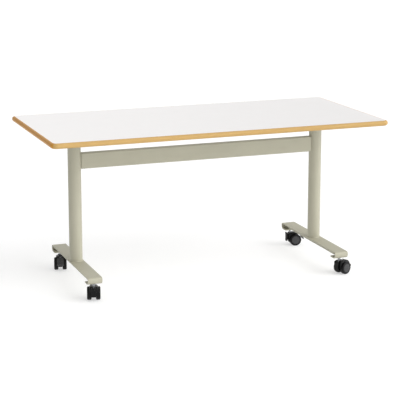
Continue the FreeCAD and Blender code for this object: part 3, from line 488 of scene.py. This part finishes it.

# %% [markdown]
# ## Wheel covers
# A smooth cover snaps into the dished face of each wheel. It is a little paler than the tread, so it
# reads as a disc with a black tyre round it; the paler tone is partly a painted highlight, for the
# light that catches the disc. A turned profile would do, but insets show better how the face is made.
# A flat cylinder is the start: the first inset falls towards the axle like the dish itself, and the
# next ones make a ring and a low dome over the axle. A bevel softens it, and it is copied to all the
# wheels by their rolling axes.

# %% Wheel covers
COVER_RADIUS = 20.4 * MM
COVER_HEIGHT = 1.2 * MM
COVER_FALL = 0.9 * MM
COVER_ROUND = 0.15 * MM
DOME_RADIUS = 8 * MM
DOME_RING = 1.6 * MM
DOME_STEP = 0.3 * MM
DISH_FACE = 28.5 * MM
let_go()
bpy.ops.mesh.primitive_cylinder_add(vertices=64, radius=COVER_RADIUS, depth=COVER_HEIGHT,
                                    location=(0, 0, COVER_HEIGHT / 2))
cover = bpy.context.object
bpy.ops.object.transform_apply(location=True, rotation=True, scale=True)
pick_faces(cover, lambda centre, normal: normal.z > FLAT)
bpy.ops.mesh.inset(thickness=COVER_RADIUS - DOME_RADIUS, depth=-COVER_FALL)
bpy.ops.mesh.inset(thickness=DOME_RING / 4, depth=DOME_STEP)
bpy.ops.mesh.inset(thickness=DOME_RING)
bpy.ops.mesh.inset(thickness=DOME_RING / 4, depth=-DOME_STEP)
bpy.ops.mesh.inset(thickness=DOME_RING, depth=DOME_STEP / 2)
let_go()
bevel_edges(cover, COVER_ROUND, segments=2, angle=25)
for corner in CORNERS:
    for hand, sign in (("a", 1), ("b", -1)):
        joint = JOINTS[f"wheel_{hand}_{corner}_roll"]
        out = Vector(joint["axis"]).normalized() * sign
        centre = Vector(joint["pos_m"]) + out * DISH_FACE
        twin = copy_to(cover, f"wheel_cover_{hand}_{corner}", upright(centre, UP.cross(out), UP))
        # The cover's paler charcoal is partly a painted highlight.
        hand_over(twin, f"wheel_{hand}_{corner}", charcoal_nylon_painted_highlight)
bpy.data.objects.remove(cover)
print("covers on", 2 * len(CORNERS), "wheels")

# %% [markdown]
# ## Pedal ribs
# A foot finds the brake pedal by its ribs: low half-round bars across the arched plate. They could be
# a bump on the pedal, but from the side their outline shows. One bar is a stretched cylinder with
# rounded ends; it is copied at even steps round the wheel's axis and half sunk in the plate.

# %% Pedal ribs
PEDAL_FACE = 39 * MM
RIB_RADIUS = 0.8 * MM
RIB_HALF = 12.5 * MM
RIB_ANGLES = (18, 26, 34, 42, 50)


def joined(pieces, name):
    """Several meshes made one piece."""
    let_go()
    for piece in pieces:
        piece.select_set(True)
    bpy.context.view_layer.objects.active = pieces[0]
    bpy.ops.object.join()
    pieces[0].name = name
    return pieces[0]


let_go()
bpy.ops.mesh.primitive_cylinder_add(vertices=16, radius=RIB_RADIUS, depth=2 * RIB_HALF, location=(0, 0, 0),
                                    rotation=(math.pi / 2, 0, 0))
rib = bpy.context.object
bpy.ops.object.transform_apply(location=True, rotation=True, scale=True)
bevel_edges(rib, RIB_RADIUS / 2, segments=3, angle=60)
for corner in CORNERS:
    joint = JOINTS[f"wheel_a_{corner}_roll"]
    across = Vector(joint["axis"]).normalized()
    trail = across.cross(UP)
    bars = []
    for angle in RIB_ANGLES:
        out = trail * math.cos(math.radians(angle)) + UP * math.sin(math.radians(angle))
        centre = Vector(joint["pos_m"]) + out * PEDAL_FACE
        bars.append(copy_to(rib, f"pedal_rib_{corner}", upright(centre, out, across)))
    ribs = joined(bars, f"pedal_ribs_{corner}")
    # The ribs share the pedal's charcoal, which is partly a painted highlight.
    hand_over(ribs, f"pedal_{corner}", charcoal_nylon_painted_highlight)
bpy.data.objects.remove(rib)
print(len(RIB_ANGLES), "ribs on each pedal")

# %% [markdown]
# ## Bracket screws
# The screws under the top are pan heads with a cross recess. A head is a disc whose rim is bevelled to
# a dome. No faces of a round head have the shape of a cross, so the recess isn't pushed in but cut, by
# two crossed bars. Each head is turned further than the last, since no two screws stop alike. The
# heads stand for the plain screws of the frame.

# %% Bracket screws
BRACKET_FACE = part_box("bracket_screws")[0].z
PAN_RADIUS = 5 * MM
PAN_HEIGHT = 2.6 * MM
PAN_ROUND = 1.4 * MM
RECESS_DEPTH = 1.6 * MM
RECESS_ARM = 2.9 * MM
RECESS_WIDTH = 1.1 * MM
RECESS_TURN = math.radians(37)
SCREW_X = (-30 * MM, 30 * MM)
SCREW_Y = (-168 * MM, -78 * MM, 78 * MM, 168 * MM)


def cut_away(piece, cutter):
    """Subtract a cutter from a piece and delete the cutter."""
    take(piece)
    knife = piece.modifiers.new("cut", "BOOLEAN")
    knife.operation = "DIFFERENCE"
    knife.object = cutter
    bpy.ops.object.modifier_apply(modifier=knife.name)
    bpy.data.objects.remove(cutter)


let_go()
bpy.ops.mesh.primitive_cylinder_add(vertices=32, radius=PAN_RADIUS, depth=PAN_HEIGHT,
                                    location=(0, 0, PAN_HEIGHT / 2))
pan = bpy.context.object
bpy.ops.object.transform_apply(location=True, rotation=True, scale=True)
pick_faces(pan, lambda centre, normal: normal.z < -FLAT)
bpy.ops.mesh.bevel(offset=PAN_ROUND, segments=4, affect="EDGES", profile=0.6)
let_go()
bpy.ops.mesh.primitive_cube_add(size=1, location=(0, 0, 0))
cross = bpy.context.object
cross.scale = (2 * RECESS_ARM, RECESS_WIDTH, 2 * RECESS_DEPTH)
bpy.ops.object.transform_apply(location=True, rotation=True, scale=True)
arm = copy_to(cross, "recess_arm", Matrix.Rotation(math.pi / 2, 4, "Z"))
cut_away(pan, cross)
cut_away(pan, arm)
heads = []
column_low, column_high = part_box("column_right")
column_x = (column_low.x + column_high.x) / 2
for end in (-1, 1):
    for x in SCREW_X:
        for y in SCREW_Y:
            spin = Matrix.Rotation(RECESS_TURN * (len(heads) + 1), 4, "Z")
            place = Matrix.Translation((end * column_x + x, y, BRACKET_FACE))
            heads.append(copy_to(pan, "bracket_screw_head", place @ spin))
bracket_heads = joined(heads, "bracket_screw_heads")
hand_over(bracket_heads, "top", zinc, ["bracket_screws"])
bpy.data.objects.remove(pan)
print(2 * len(SCREW_X) * len(SCREW_Y), "bracket screws")

# %% [markdown]
# ## Cross bar screws
# The cross bar is held to its stubs from below by button heads with a hexagon socket. Their bevel is
# wider than that of the pan heads, so they are rounder, and the cutter is a six-sided cylinder.

# %% Cross bar screws
BAR_SCREW_LOW, BAR_SCREW_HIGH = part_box("bar_screws")
BUTTON_RADIUS = 5.5 * MM
BUTTON_HEIGHT = 3 * MM
BUTTON_ROUND = 2.2 * MM
SOCKET_RADIUS = 2.3 * MM
SOCKET_DEPTH = 1.8 * MM
BAR_SCREW_PITCH = 28 * MM
let_go()
bpy.ops.mesh.primitive_cylinder_add(vertices=36, radius=BUTTON_RADIUS, depth=BUTTON_HEIGHT,
                                    location=(0, 0, BUTTON_HEIGHT / 2))
button = bpy.context.object
bpy.ops.object.transform_apply(location=True, rotation=True, scale=True)
pick_faces(button, lambda centre, normal: normal.z < -FLAT)
bpy.ops.mesh.bevel(offset=BUTTON_ROUND, segments=5, affect="EDGES", profile=0.6)
let_go()
bpy.ops.mesh.primitive_cylinder_add(vertices=6, radius=SOCKET_RADIUS, depth=2 * SOCKET_DEPTH,
                                    location=(0, 0, 0))
cut_away(button, bpy.context.object)
outer_x = BAR_SCREW_HIGH.x - BUTTON_RADIUS
buttons = []
for end in (-1, 1):
    for step in (0, 1):
        place = Matrix.Translation((end * (outer_x - step * BAR_SCREW_PITCH), 0, BAR_SCREW_LOW.z))
        buttons.append(copy_to(button, "bar_screw_head", place))
bar_heads = joined(buttons, "bar_screw_heads")
hand_over(bar_heads, "frame", zinc, ["bar_screws"])
bpy.data.objects.remove(button)
print("bar screws from", round(-outer_x, 4), "to", round(outer_x, 4))

# %% [markdown]
# ## Floor
# The table stands on plain white studio paper. In such a studio the paper is lit until it is as bright as
# the sky, so the floor glows a little here as well as reflecting. What it reflects is what shadows
# can take away, so the share of the two sets how dark the shadows under the castors are.

# %% Floor
FLOOR_HALF = 40.0
let_go()
bpy.ops.mesh.primitive_plane_add(size=2 * FLOOR_HALF, location=(0, 0, 0))
floor = bpy.context.object
floor.name = "studio_floor"
floor_paper, paper_tree, paper_shader, paper_place = finish_of("studio_paper_white")
fibre = add(paper_tree, "TexNoise", [("Vector", paper_place)], Scale=per_mm(400), Detail=2.0)
paper_tint = add(paper_tree, "Mix", [("Factor", fibre.outputs["Fac"])],
                 data_type="RGBA", A=paint("C4C4C4"), B=paint("C6C6C6"))
paper_tree.links.new(paper_tint.outputs["Result"], paper_shader.inputs["Base Color"])
paper_shader.inputs["Roughness"].default_value = 0.9
paper_shader.inputs["Specular IOR Level"].default_value = 0.1
paper_shader.inputs["Emission Color"].default_value = (1, 1, 1, 1)
paper_shader.inputs["Emission Strength"].default_value = 0.5
floor.data.materials.append(floor_paper)
print("floor at height", floor.location.z)

# %% [markdown]
# ## Sky
# The sky is graded, bright behind the main light and dim on the far side, as between a white wall and
# an open studio: that rolls the columns from light on their right to dark on their left. A picture of
# a studio would light as well, but one direction and two strengths are easier to match.

# %% Sky
BRIGHT_SIDE = (0.8, -0.6, 0.0)
SKY_DARK, SKY_BRIGHT = 0.05, 0.95
scene = bpy.context.scene
scene.view_settings.view_transform = "Standard"
sky = bpy.data.worlds.new("studio_sky")
scene.world = sky
sky.use_nodes = True
sky_tree = sky.node_tree
sky_light = sky_tree.nodes["Background"]
sky_light.inputs["Color"].default_value = (1, 1, 1, 1)
ray = add(sky_tree, "TexCoord").outputs["Generated"]
facing = add(sky_tree, "VectorMath", [(0, ray)], operation="DOT_PRODUCT")
facing.inputs[1].default_value = BRIGHT_SIDE
falloff = add(sky_tree, "MapRange", [("Value", facing.outputs["Value"])],
              From_Min=-1.0, To_Min=SKY_DARK, To_Max=SKY_BRIGHT)
sky_tree.links.new(falloff.outputs["Result"], sky_light.inputs["Strength"])
print("sky from", SKY_DARK, "to", SKY_BRIGHT)

# %% [markdown]
# ## Light
# A broad key light comes from the front right. A smaller one, low on the right, draws the highlights on
# the black castors. A weak light from above evens the top, and one from behind reaches the feet
# under the table. All are suns with a wide angle: a softbox would do, but a sun lights both ends of
# so long a table alike.

# %% Light


def broad_light(name, toward, strength, spread):
    """An even light from one direction, soft by its angular spread in degrees."""
    data = bpy.data.lights.new(name, "SUN")
    data.energy = strength
    data.angle = math.radians(spread)
    thing = bpy.data.objects.new(name, data)
    thing.rotation_euler = Vector(toward).to_track_quat("Z", "Y").to_euler()
    scene.collection.objects.link(thing)


broad_light("key_light", toward=(0.6, -0.62, 0.5), strength=1.85, spread=60)
broad_light("side_light", toward=(0.93, -0.34, 0.08), strength=0.3, spread=18)
broad_light("overhead_light", toward=(0, 0, 1), strength=0.55, spread=120)
broad_light("back_light", toward=(-0.1, 0.85, 0.5), strength=0.5, spread=60)

# %% [markdown]
# ## Camera
# The picture was taken from the front left, a little above the table, with a long lens. A long lens
# keeps the far end of the table nearly as large as the near one. The lens is also shifted down a
# little, which keeps the columns closer to upright than tilting alone would.

# %% Camera
PICTURE_SIDE = 400
LENS_PIXELS = 1399.32
SENSOR = 36.0
TURN = math.radians(20.687)
TILT = math.radians(11.756)
STAND = (-2.2556, -5.9936, 1.8712)
LENS_SHIFT = -0.1
view_data = bpy.data.cameras.new("front_left_view")
view_data.sensor_width = SENSOR
view_data.lens = SENSOR * LENS_PIXELS / PICTURE_SIDE
view_data.shift_y = LENS_SHIFT
view_data.clip_end = 100
view = bpy.data.objects.new("front_left_view", view_data)
view.location = STAND
looking = Vector((math.sin(TURN) * math.cos(TILT), math.cos(TURN) * math.cos(TILT), -math.sin(TILT)))
view.rotation_euler = looking.to_track_quat("-Z", "Y").to_euler()
scene.collection.objects.link(view)
scene.camera = view
print("lens", round(view_data.lens, 2), "mm")

# %% [markdown]
# ## Finish
# At the end, edit mode is left and nothing stays selected.

# %% Finish
let_go()
